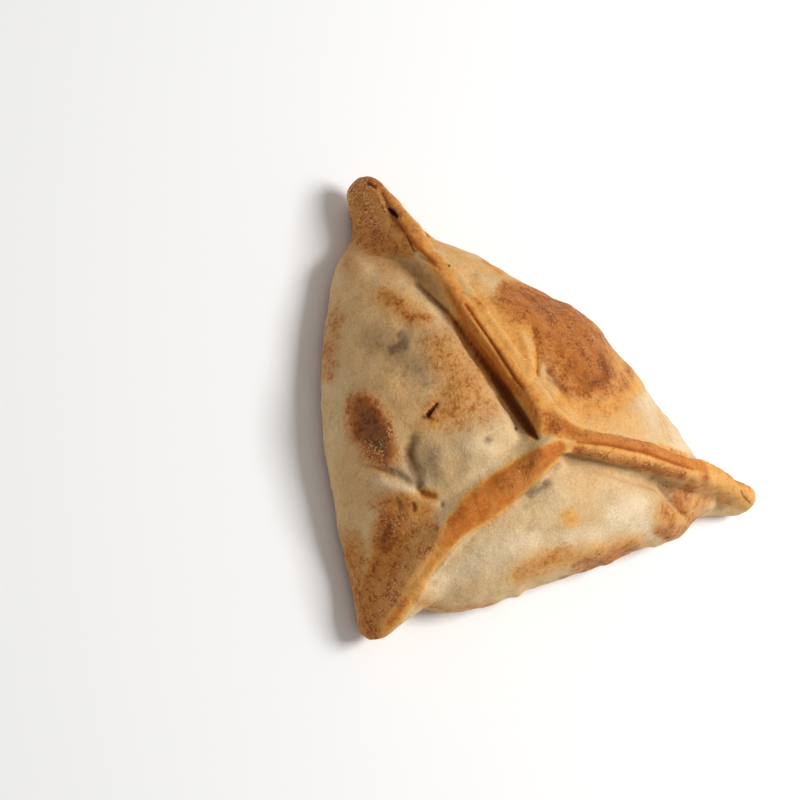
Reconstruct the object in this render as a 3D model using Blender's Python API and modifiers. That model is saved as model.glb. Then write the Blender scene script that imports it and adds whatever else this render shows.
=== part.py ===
"""Fatayer: a triangular filled pastry, made of one piece of dough.

A disc of dough is drawn up over its filling at three places, and its edge is pinched into three
double seams, which run from one meeting point on top out to the three tips. Between the seams are
three puffed panels. Metres, +Z up; the pastry lies on z = 0 with its flat underside down.
"""

import math
from dataclasses import dataclass

import bmesh
import bpy
import numpy as np
from mathutils import Matrix, Vector

MM = 0.001

# Plan view: where the seams meet, seen from the middle between the three tips.
MEETING = (-3.5 * MM, -6.6 * MM)

# Heights of the filled dough, without its lips.
CENTRE_HEIGHT = 31.0 * MM
SIDE_RIM_HEIGHT = 8.0 * MM
TIP_RIM_HEIGHT = 3.6 * MM

# How the height falls from the centre outwards: under a seam, and what a panel's middle adds.
SEAM_FALL, PANEL_FALL = 1.55, 0.65
SEAM_FULLNESS, PANEL_FULLNESS = 1.12, 0.38
MIDDLE_SPREAD = 0.6

# The underside: how far the edge is rounded in, and what the baking tray flattened.
SIDE_UNDERCUT = 7.0 * MM
TIP_UNDERCUT = 2.5 * MM
UNDERCUT_SHARE = 0.35
FLATTENED = 0.35 * MM

# The outline is pinched in beside each tip, and the dough dips beside each seam.
PINCH_FROM_TIP = 11.0 * MM
PINCH_SPREAD = 7.0 * MM
GROOVE_WIDTH = 4.5 * MM
GROOVE_ENDS = 0.8

# Each lip is a strip of dough on edge, pressed against its neighbour and rooted in the body.
LIP_THICKNESS = 3.0 * MM
LIP_OFFSET = 1.4 * MM
LIP_HEIGHT = 6.5 * MM
LIP_ROOT_DEPTH = 5.0 * MM
LIP_ABOVE_DIP = 3.0 * MM

# Along a seam: where its lips have leant over, start to shrink, round off and end.
LEANT_FROM = 0.15
SHRINK_FROM = 0.58
SHRINK_POWER = 0.6
LIP_TIP_SIZE = 0.55
ROUNDS_FROM = 0.94
LIP_END = 0.995

# Each tip is a solid finger of dough, which starts inside the filled part.
FINGER_START = 0.5
FINGER_ROOT = 9.0 * MM
FINGER_ROOT_HEIGHT = 11.0 * MM

# The knot of dough where the three seams meet.
KNOT_RADIUS = 6.0 * MM
KNOT_HEIGHT = 30.0 * MM

# Mesh settings.
OUTLINE_STEPS = 160
BODY_SEGMENTS, BODY_RINGS = 240, 64
KNOT_SEGMENTS, KNOT_RINGS = 32, 16
LIP_STEPS, TURN_STEPS, LIP_ROUND_STEPS = 34, 8, 8
FINGER_STEPS, FINGER_SIDES = 8, 4
VOXEL = 0.7 * MM
SOFTENING = 2
WELD = 0.01 * MM
MOST_TRIANGLES = 9500


@dataclass
class Seam:
    """One pinched seam, from the meeting point out to its tip."""

    bearing: float  # degrees, anticlockwise from +X
    reach: float  # to the tip, in plan
    bow: float  # how far its middle swings anticlockwise of a straight line
    lean: float  # degrees that its lips lean, anticlockwise
    size: float  # of its lips, as a share of the full lip
    finger: float  # half the thickness of the solid dough at the tip
    lift: float  # clearance under the tip


@dataclass
class Panel:
    """One puffed panel, from one seam anticlockwise to the next."""

    bulge: float  # outline beyond the straight line between its two tips
    roundness: float  # 1 bulges over its whole length, 2 mostly at its middle
    puff: float  # extra height at its middle
    first_groove: float  # depth of the dip beside the seam that it starts from
    last_groove: float  # depth of the dip beside the seam that it ends at
    first_pinch: float  # how far the outline is pinched in beside its first tip
    last_pinch: float  # and beside its last tip
    turn: float  # radius of its lip's turn at the meeting point


@dataclass
class Swell:
    """A soft bump in the dough, or a dent where its height is negative."""

    x: float
    y: float
    height: float
    spread: float


SEAMS = (
    Seam(bearing=96.2, reach=72.6 * MM, bow=1.5 * MM, lean=-12.0, size=1.0, finger=4.0 * MM, lift=3.0 * MM),
    Seam(bearing=209.8, reach=50.8 * MM, bow=-7.0 * MM, lean=58.0, size=1.1, finger=3.6 * MM, lift=2.2 * MM),
    Seam(bearing=337.9, reach=68.3 * MM, bow=0.5 * MM, lean=0.0, size=1.0, finger=3.6 * MM, lift=1.0 * MM),
)
PANELS = (
    Panel(
        bulge=9.3 * MM,
        roundness=1.35,
        puff=3.0 * MM,
        first_groove=5.0 * MM,
        last_groove=1.0 * MM,
        first_pinch=3.0 * MM,
        last_pinch=0.0 * MM,
        turn=3.0 * MM,
    ),
    Panel(
        bulge=3.5 * MM,
        roundness=1.2,
        puff=2.0 * MM,
        first_groove=2.0 * MM,
        last_groove=3.5 * MM,
        first_pinch=5.0 * MM,
        last_pinch=3.5 * MM,
        turn=4.0 * MM,
    ),
    Panel(
        bulge=8.8 * MM,
        roundness=2.2,
        puff=3.0 * MM,
        first_groove=2.0 * MM,
        last_groove=1.0 * MM,
        first_pinch=6.0 * MM,
        last_pinch=3.5 * MM,
        turn=10.0 * MM,
    ),
)

# Where the filling or the fingers have pushed the dough out or in.
SWELLS = (
    Swell(x=-24.5 * MM, y=25.0 * MM, height=-1.2 * MM, spread=6.0 * MM),
    Swell(x=-31.0 * MM, y=-2.5 * MM, height=-1.6 * MM, spread=5.0 * MM),
    Swell(x=-20.5 * MM, y=-2.0 * MM, height=0.8 * MM, spread=3.5 * MM),
    Swell(x=-36.0 * MM, y=10.0 * MM, height=0.7 * MM, spread=6.0 * MM),
    Swell(x=28.4 * MM, y=-25.5 * MM, height=-1.8 * MM, spread=3.5 * MM),
    Swell(x=32.0 * MM, y=-31.5 * MM, height=1.4 * MM, spread=4.5 * MM),
    Swell(x=-12.0 * MM, y=-17.0 * MM, height=-0.9 * MM, spread=4.0 * MM),
    Swell(x=13.0 * MM, y=14.0 * MM, height=-0.9 * MM, spread=8.0 * MM),
    Swell(x=39.0 * MM, y=-4.0 * MM, height=-2.0 * MM, spread=9.0 * MM),
)

CRUST_COLOUR = (0.70, 0.46, 0.22, 1.0)
CRUST_ROUGHNESS = 0.65


def clear_scene():
    """An empty scene to build in."""
    for obj in list(bpy.data.objects):
        bpy.data.objects.remove(obj, do_unlink=True)


def crust_material():
    """Baked dough: pale gold, dull."""
    material = bpy.data.materials.new("crust")
    material.use_nodes = True
    shader = material.node_tree.nodes["Principled BSDF"]
    shader.inputs["Base Color"].default_value = CRUST_COLOUR
    shader.inputs["Roughness"].default_value = CRUST_ROUGHNESS
    shader.inputs["Metallic"].default_value = 0.0
    return material


def direction(degrees):
    """Unit vector in plan at a bearing."""
    return np.array((math.cos(math.radians(degrees)), math.sin(math.radians(degrees))))


def leftwards(vector):
    """A plan vector turned a quarter anticlockwise."""
    return np.array((-vector[1], vector[0]))


def tip_of(seam):
    """Plan position of a seam's tip."""
    return np.array(MEETING) + seam.reach * direction(seam.bearing)


def outline_of(panel, first, last):
    """Plan outline of a panel's foot, from its first tip to its last: points, and the share along."""
    start, end = tip_of(first), tip_of(last)
    share = np.linspace(0.0, 1.0, OUTLINE_STEPS)
    chord = end - start
    length = np.linalg.norm(chord)
    outwards = -leftwards(chord / length)
    bulge = panel.bulge * (4 * share * (1 - share)) ** panel.roundness
    near_first = np.exp(-(((share * length - PINCH_FROM_TIP) / PINCH_SPREAD) ** 2))
    near_last = np.exp(-((((1 - share) * length - PINCH_FROM_TIP) / PINCH_SPREAD) ** 2))
    bulge -= panel.first_pinch * near_first + panel.last_pinch * near_last
    return start + share[:, None] * chord + bulge[:, None] * outwards, share


def outline_table():
    """The whole outline as seen from the meeting point: bearing, radius, share along its panel, panel."""
    rows = []
    for index, panel in enumerate(PANELS):
        first, last = SEAMS[index], SEAMS[(index + 1) % len(SEAMS)]
        points, share = outline_of(panel, first, last)
        offset = points - np.array(MEETING)
        bearing = np.arctan2(offset[:, 1], offset[:, 0])
        radius = np.hypot(offset[:, 0], offset[:, 1])
        rows.append(np.stack((bearing % math.tau, radius, share, np.full(len(share), index)), axis=1))
    table = np.concatenate(rows)
    return table[np.argsort(table[:, 0])]


OUTLINE = outline_table()


def read_outline(table, bearing):
    """Radius, share along the panel and panel index of the outline at each bearing."""
    turns = np.concatenate((table[:, 0] - math.tau, table[:, 0], table[:, 0] + math.tau))
    radius = np.interp(bearing, turns, np.tile(table[:, 1], 3))
    share = np.interp(bearing, turns, np.tile(table[:, 2], 3))
    nearest = np.clip(np.searchsorted(turns, bearing), 0, len(turns) - 1)
    return radius, share, np.tile(table[:, 3], 3)[nearest].astype(int)


def dome(outwards, middle):
    """Share of the height left at a share outwards: full over a panel's middle, leaner at a seam."""
    fall = SEAM_FALL + PANEL_FALL * middle
    fullness = SEAM_FULLNESS + PANEL_FULLNESS * middle
    return np.clip(1 - outwards**fall, 0, 1) ** (1 / fullness)


def distance_to_seam(points, seam):
    """Plan distance of points from a seam's line, and their share along it."""
    along = direction(seam.bearing)
    offset = points - np.array(MEETING)
    share = np.clip(offset @ along / seam.reach, 0, 1)
    line = share[:, None] * seam.reach * along
    line = line + (seam.bow * np.sin(math.pi * share))[:, None] * leftwards(along)
    return np.linalg.norm(offset - line, axis=1), share


def top_height(plan):
    """Height of the dough's upper skin at points in plan, which lie inside the outline."""
    offset = plan - np.array(MEETING)
    bearing = np.arctan2(offset[:, 1], offset[:, 0]) % math.tau
    radius, share, index = read_outline(OUTLINE, bearing)
    middle = (4 * share * (1 - share)) ** MIDDLE_SPREAD
    rim = TIP_RIM_HEIGHT + (SIDE_RIM_HEIGHT - TIP_RIM_HEIGHT) * middle
    outwards = (np.hypot(offset[:, 0], offset[:, 1]) / radius).clip(0, 1)
    height = rim + (CENTRE_HEIGHT - rim) * dome(outwards, middle)
    for number, panel in enumerate(PANELS):
        mine = index == number
        height += np.where(mine, panel.puff * 4 * outwards * (1 - outwards) * middle, 0)
        sides = ((SEAMS[number], panel.first_groove), (SEAMS[(number + 1) % len(SEAMS)], panel.last_groove))
        for seam, depth in sides:
            away, along = distance_to_seam(plan, seam)
            run = (1 - (along / GROOVE_ENDS) ** 3).clip(0, 1)
            height -= np.where(mine, depth * np.exp(-((away / GROOVE_WIDTH) ** 2)) * run, 0)
    for swell in SWELLS:
        away = np.hypot(plan[:, 0] - swell.x, plan[:, 1] - swell.y)
        height += swell.height * np.exp(-((away / swell.spread) ** 2))
    return height


def body_points(unit):
    """Moves the points of a unit sphere onto the filled dough."""
    bearing = np.arctan2(unit[:, 1], unit[:, 0]) % math.tau
    radius, share, _ = read_outline(OUTLINE, bearing)
    middle = (4 * share * (1 - share)) ** MIDDLE_SPREAD
    rim = TIP_RIM_HEIGHT + (SIDE_RIM_HEIGHT - TIP_RIM_HEIGHT) * middle
    undercut = TIP_UNDERCUT + (SIDE_UNDERCUT - TIP_UNDERCUT) * middle
    level = np.hypot(unit[:, 0], unit[:, 1]).clip(0, 1)
    upper = unit[:, 2] >= 0

    # Below the rim the side turns under in a quarter ellipse, and then the base runs flat.
    below = np.arccos(level) / (math.pi / 2)
    turned = np.clip(below / UNDERCUT_SHARE, 0, 1) * math.pi / 2
    flat = np.clip((below - UNDERCUT_SHARE) / (1 - UNDERCUT_SHARE), 0, 1)
    under_reach = (radius - undercut * (1 - np.cos(turned))) * (1 - flat)
    reach = np.where(upper, radius * level, under_reach)

    plan = np.array(MEETING) + reach[:, None] * np.stack((np.cos(bearing), np.sin(bearing)), axis=1)
    height = np.where(upper, top_height(plan), rim * (1 - np.sin(turned)))
    return np.column_stack((plan, height))


def make_body():
    """The filled dough: a sphere whose points are moved onto the pastry's own form."""
    bpy.ops.mesh.primitive_uv_sphere_add(segments=BODY_SEGMENTS, ring_count=BODY_RINGS, radius=1.0)
    body = bpy.context.active_object
    body.name = "body"
    unit = np.empty(len(body.data.vertices) * 3)
    body.data.vertices.foreach_get("co", unit)
    body.data.vertices.foreach_set("co", body_points(unit.reshape(-1, 3)).ravel())
    body.data.update()
    return body


def lip_profile():
    """Cross-section of a lip: a strip on edge with a full round top, its root below the path."""
    half = LIP_THICKNESS / 2
    data = bpy.data.curves.new("lip_profile", "CURVE")
    data.dimensions = "2D"
    outline = [(-half, -LIP_ROOT_DEPTH), (half, -LIP_ROOT_DEPTH)]
    for step in range(LIP_ROUND_STEPS + 1):
        angle = math.pi * step / LIP_ROUND_STEPS
        outline.append((half * math.cos(angle), LIP_HEIGHT - half + half * math.sin(angle)))
    spline = data.splines.new("POLY")
    spline.points.add(len(outline) - 1)
    for point, (across, up) in zip(spline.points, outline):
        point.co = (across, up, 0, 1)
    spline.use_cyclic_u = True
    profile = bpy.data.objects.new("lip_profile", data)
    bpy.context.scene.collection.objects.link(profile)
    profile.hide_render = True
    profile.display_type = "WIRE"
    return profile


def seam_point(seam, share, aside):
    """A point on the dough under a seam, at a share of its reach and a distance to its left."""
    along = direction(seam.bearing)
    sideways = seam.bow * math.sin(math.pi * share) + aside
    plan = np.array(MEETING) + share * seam.reach * along + sideways * leftwards(along)
    crown = TIP_RIM_HEIGHT + (CENTRE_HEIGHT - TIP_RIM_HEIGHT) * float(dome(share, 0.0))
    skin = float(top_height(plan[None, :])[0])
    return Vector((*plan, min(crown, skin + LIP_ABOVE_DIP)))


def lip_size(seam, share):
    """Size of a seam's lips at a share of its reach: full, then shrinking, then rounded off."""
    shrunk = min(1.0, (1 - share) / (1 - SHRINK_FROM)) ** SHRINK_POWER
    past = max(0.0, (share - ROUNDS_FROM) / (1 - ROUNDS_FROM))
    own_size = 1 + (seam.size - 1) * min(1.0, share / LEANT_FROM)
    return (LIP_TIP_SIZE + (1 - LIP_TIP_SIZE) * shrunk) * math.sqrt(1 - past**2) * own_size


def lip_arm(seam, side, start):
    """Stations of one lip along a seam, outwards from a share of its reach: place, lean and size."""
    stations = []
    for step in range(LIP_STEPS + 1):
        share = start + (LIP_END - start) * step / LIP_STEPS
        size = lip_size(seam, share)
        lean = seam.lean * min(1.0, share / LEANT_FROM) * (1 - share**2 / 2)
        place = seam_point(seam, share, side * LIP_OFFSET * size)
        place.z += seam.lift * share**4
        stations.append((place, lean, size))
    return stations


def lip_stations(panel, first, last):
    """Stations along a panel's whole lip: in from its first tip, round the meeting point, out again."""
    inwards = lip_arm(first, 1, panel.turn / first.reach)
    outwards = lip_arm(last, -1, panel.turn / last.reach)
    (start, start_lean, _), (end, end_lean, _) = inwards[0], outwards[0]
    corner = Vector((*MEETING, CENTRE_HEIGHT))
    corner += ((start + end) / 2 - corner).normalized() * LIP_OFFSET
    turn = []
    for step in range(1, TURN_STEPS):
        share = step / TURN_STEPS
        place = start.lerp(corner, share).lerp(corner.lerp(end, share), share)
        turn.append((place, start_lean * (1 - share) - end_lean * share, 1.0))
    return inwards[::-1] + turn + [(place, -lean, size) for place, lean, size in outwards]


def make_lip(number, profile):
    """One panel's edge, swept along its two seams."""
    stations = lip_stations(PANELS[number], SEAMS[number], SEAMS[(number + 1) % len(SEAMS)])
    data = bpy.data.curves.new(f"lip_{number}", "CURVE")
    data.dimensions = "3D"
    data.twist_mode = "Z_UP"
    data.bevel_mode = "OBJECT"
    data.bevel_object = profile
    data.use_fill_caps = True
    spline = data.splines.new("POLY")
    spline.points.add(len(stations) - 1)
    for point, (place, lean, size) in zip(spline.points, stations):
        point.co = (*place, 1)
        point.tilt = math.radians(lean)
        point.radius = size
    lip = bpy.data.objects.new(f"lip_{number}", data)
    bpy.context.scene.collection.objects.link(lip)
    return lip


def make_finger(number):
    """The solid dough of one tip: a thick blunt finger that runs back and up into the body."""
    seam = SEAMS[number]
    outer = 1 - seam.finger / seam.reach
    outer_height = seam.finger + seam.lift
    root_size = FINGER_ROOT / seam.finger
    stations = []
    for step in range(FINGER_STEPS + 1):
        along = step / FINGER_STEPS
        share = FINGER_START + (outer - FINGER_START) * along
        height = FINGER_ROOT_HEIGHT + (outer_height - FINGER_ROOT_HEIGHT) * along
        stations.append((share, height, root_size + (1 - root_size) * along))
    for step in range(1, FINGER_STEPS):
        angle = math.pi / 2 * step / FINGER_STEPS
        stations.append((outer + (1 - outer) * math.sin(angle), outer_height, math.cos(angle)))
    data = bpy.data.curves.new(f"finger_{number}", "CURVE")
    data.dimensions = "3D"
    data.bevel_depth = seam.finger
    data.bevel_resolution = FINGER_SIDES
    data.use_fill_caps = True
    spline = data.splines.new("POLY")
    spline.points.add(len(stations) - 1)
    for point, (share, height, size) in zip(spline.points, stations):
        place = np.array(MEETING) + share * seam.reach * direction(seam.bearing)
        point.co = (*place, height, 1)
        point.radius = size
    finger = bpy.data.objects.new(f"finger_{number}", data)
    bpy.context.scene.collection.objects.link(finger)
    return finger


def make_knot():
    """The lump of dough under the meeting point, which closes the gap between the lips."""
    place = (*MEETING, KNOT_HEIGHT)
    bpy.ops.mesh.primitive_uv_sphere_add(
        segments=KNOT_SEGMENTS, ring_count=KNOT_RINGS, radius=KNOT_RADIUS, location=place
    )
    knot = bpy.context.active_object
    knot.name = "knot"
    return knot


def as_mesh(obj, name):
    """A mesh of the object as it stands, in world space, with its caps welded."""
    graph = bpy.context.evaluated_depsgraph_get()
    mesh = bpy.data.meshes.new_from_object(obj.evaluated_get(graph))
    mesh.transform(obj.matrix_world)
    shape = bmesh.new()
    shape.from_mesh(mesh)
    bmesh.ops.remove_doubles(shape, verts=shape.verts, dist=WELD)
    bmesh.ops.recalc_face_normals(shape, faces=shape.faces)
    shape.to_mesh(mesh)
    shape.free()
    made = bpy.data.objects.new(name, mesh)
    bpy.context.scene.collection.objects.link(made)
    return made


def fuse(shapes):
    """One closed skin over several overlapping shapes, softened where they meet."""
    joined = bmesh.new()
    for shape in shapes:
        joined.from_mesh(shape.data)
        bpy.data.objects.remove(shape, do_unlink=True)
    mesh = bpy.data.meshes.new("skin")
    joined.to_mesh(mesh)
    joined.free()
    skin = bpy.data.objects.new("skin", mesh)
    bpy.context.scene.collection.objects.link(skin)
    remesh = skin.modifiers.new("Skin", "REMESH")
    remesh.mode = "VOXEL"
    remesh.voxel_size = VOXEL
    soften = skin.modifiers.new("Soften", "SMOOTH")
    soften.iterations = SOFTENING
    return replaced(skin, "fused")


def replaced(obj, name):
    """Swaps an object for a plain mesh of what its modifiers make of it."""
    made = as_mesh(obj, name)
    bpy.data.objects.remove(obj, do_unlink=True)
    return made


def flatten_base(dough):
    """Cuts the lowest skin off, level, and closes the cut."""
    shape = bmesh.new()
    shape.from_mesh(dough.data)
    lowest = min(vert.co.z for vert in shape.verts)
    cut = bmesh.ops.bisect_plane(
        shape,
        geom=list(shape.verts) + list(shape.edges) + list(shape.faces),
        dist=WELD / 10,
        plane_co=(0, 0, lowest + FLATTENED),
        plane_no=(0, 0, 1),
        clear_inner=True,
    )
    rim = [item for item in cut["geom_cut"] if isinstance(item, bmesh.types.BMEdge)]
    bmesh.ops.holes_fill(shape, edges=rim)
    bmesh.ops.recalc_face_normals(shape, faces=shape.faces)
    shape.to_mesh(dough.data)
    shape.free()


def thin_out(dough, name):
    """The same dough with fewer triangles."""
    triangles = sum(len(face.vertices) - 2 for face in dough.data.polygons)
    thin = dough.modifiers.new("Thin", "DECIMATE")
    thin.ratio = min(1.0, MOST_TRIANGLES / triangles)
    return replaced(dough, name)


def centre(dough):
    """Puts the middle of the box round the dough over the origin, and its base on z = 0."""
    corners = np.array([vert.co for vert in dough.data.vertices])
    low, high = corners.min(axis=0), corners.max(axis=0)
    middle = Vector(((low[0] + high[0]) / 2, (low[1] + high[1]) / 2, low[2]))
    dough.data.transform(Matrix.Translation(-middle))


def main():
    clear_scene()
    profile = lip_profile()
    lips = [make_lip(number, profile) for number in range(len(PANELS))]
    fingers = [make_finger(number) for number in range(len(SEAMS))]
    pieces = (make_body(), make_knot(), *lips, *fingers)
    bpy.context.view_layer.update()
    solids = [replaced(piece, piece.name + "_solid") for piece in pieces]
    bpy.data.objects.remove(profile, do_unlink=True)

    dough = fuse(solids)
    flatten_base(dough)
    fatayer = thin_out(dough, "fatayer")
    centre(fatayer)
    fatayer.data.materials.clear()
    fatayer.data.materials.append(crust_material())
    fatayer.data.shade_smooth()
    collection = bpy.data.collections.new("fatayer")
    bpy.context.scene.collection.children.link(collection)
    bpy.context.scene.collection.objects.unlink(fatayer)
    collection.objects.link(fatayer)


main()
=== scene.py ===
"""A baked fatayer: a three-cornered pie of thin leavened dough, pinched shut over its
filling along three raised seams, and browned by the oven.

The dough starts from the plain CAD solid. It is refined, then creased, dented and roughened,
and its bake is painted on as layers that the crust's finish turns into colour; some of these
layers also hold painted shade in its creases and painted highlights on a few ridges.
"""
import math
from dataclasses import dataclass

import bpy
import numpy as np
from mathutils import Matrix, Vector
from mathutils.bvhtree import BVHTree


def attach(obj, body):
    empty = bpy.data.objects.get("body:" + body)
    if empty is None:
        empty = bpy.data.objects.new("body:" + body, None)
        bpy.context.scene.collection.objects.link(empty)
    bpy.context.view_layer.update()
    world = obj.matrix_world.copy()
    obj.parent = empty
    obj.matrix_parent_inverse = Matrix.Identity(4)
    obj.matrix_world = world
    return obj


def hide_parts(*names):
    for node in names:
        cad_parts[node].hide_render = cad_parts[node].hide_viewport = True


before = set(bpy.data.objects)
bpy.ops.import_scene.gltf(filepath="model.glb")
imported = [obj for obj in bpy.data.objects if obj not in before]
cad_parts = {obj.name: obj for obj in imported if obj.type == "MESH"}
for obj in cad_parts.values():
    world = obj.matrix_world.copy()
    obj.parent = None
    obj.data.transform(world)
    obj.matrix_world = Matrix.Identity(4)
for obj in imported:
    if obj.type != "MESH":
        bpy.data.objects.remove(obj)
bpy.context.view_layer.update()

MM = 0.001

# ---- the view: the camera, and the pixels that strokes are drawn in -------------------------
PICTURE = 800               # pixels across the square picture
LENS = 100.0                # mm
SENSOR = 36.0               # mm
CAMERA_AZIMUTH = -77.2      # degrees round the pie
CAMERA_ELEVATION = 60.0     # degrees above the floor
CAMERA_ROLL = 58.6          # degrees that the pie's upright leans to the right in the picture
CAMERA_DISTANCE = 483.5     # mm
CAMERA_TARGET = (-30.76, -1.36, 14.65)   # mm
CAMERA_NEAREST = 10.0       # mm
SCALE = PICTURE * LENS / SENSOR          # pixels that a thing spans when it is its own size away
PIXEL = CAMERA_DISTANCE / SCALE          # mm of the pie that one pixel shows
BEHIND_AZIMUTH, BEHIND_ELEVATION = 103.0, 35.0           # degrees, for the far side's strokes
BEHIND_TARGET = (0.0, 0.0, 15.0)         # mm

# ---- the light ------------------------------------------------------------------------------
KEY_FROM = (0.85, 0.2, 0.55)      # along the picture's right, its up, and towards the camera
KEY_POWER, KEY_SIZE, KEY_DISTANCE = 4.2, 300.0, 700.0      # W, mm, mm
SKY = (1.0, 0.985, 0.96)
SKY_STRENGTH = 0.36
FLOOR_SIZE = 3000.0         # mm
FLOOR_COLOUR = (0.95, 0.95, 0.95)
FLOOR_ROUGHNESS = 0.9

# ---- the dough's mesh -----------------------------------------------------------------------
SEWN = 0.001                # mm within which the solid's loose corners are sewn together
ROUNDING = 2                # times that the solid's facets are split and rounded
SKIN = 0.52                 # mm between the points of the fine skin
SMOOTHING = 4               # rounds that take out the steps left by refining
EASING = 90                 # rounds where the solid's own edges are eased away
EVENING = 0.5               # share of the way to its neighbours that such a round moves a point
SOFTENING = 0.4             # the same share in the one round after the strokes are pressed in
FINE_STROKE = 5.0           # strokes that start up to this radius, in pixels, get a finer skin
FINE_EDGE = 0.1             # share of their radius over which that finer skin ends
DEPTH, DEEPEST = 0.3, 6.0   # mm behind the seen skin that a pixel of radius takes in; the most
FULL_DEPTH = 0.5            # share of that depth where a stroke starts to fade
DOT = 1e-12                 # squared length that a stroke with a single stop is given
WEIGHT_STEPS = 500          # steps that a value from 0 to 1 is kept in
BASE_SKIN = 0.6             # mm above the floor that count as the flat underside
BASE_BLEND = 1.5            # mm above that over which the upper skin begins

# The uneven grain of the crust: a name, its size and its height in mm. The finest is fainter
# on pale dough, down to a share of its height.
SWELLS = (("uneven", 9.0, 0.8), ("lumpy", 3.2, 0.4))
FINEST_GRAIN = ("grainy", 1.3, 0.36)
PALE_GRAIN = 0.25
GRAIN_OCTAVES = 2


@dataclass(frozen=True)
class Stroke:
    """One stroke over the dough, drawn in a view of it: each stop is x, y and radius, in pixels."""
    amount: float           # mm of height for a pressed stroke, or depth of colour
    stops: tuple
    soft: float = 1.0       # share of the radius over which the stroke fades
    deep: float = 0.0       # mm behind the seen skin that it takes in, if not the usual depth
    wraps: bool = False     # reaches round the dough, by the true distance from its line

    @property
    def depth(self):
        return self.deep or min(DEEPEST, DEPTH * max(radius for *_, radius in self.stops))


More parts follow.
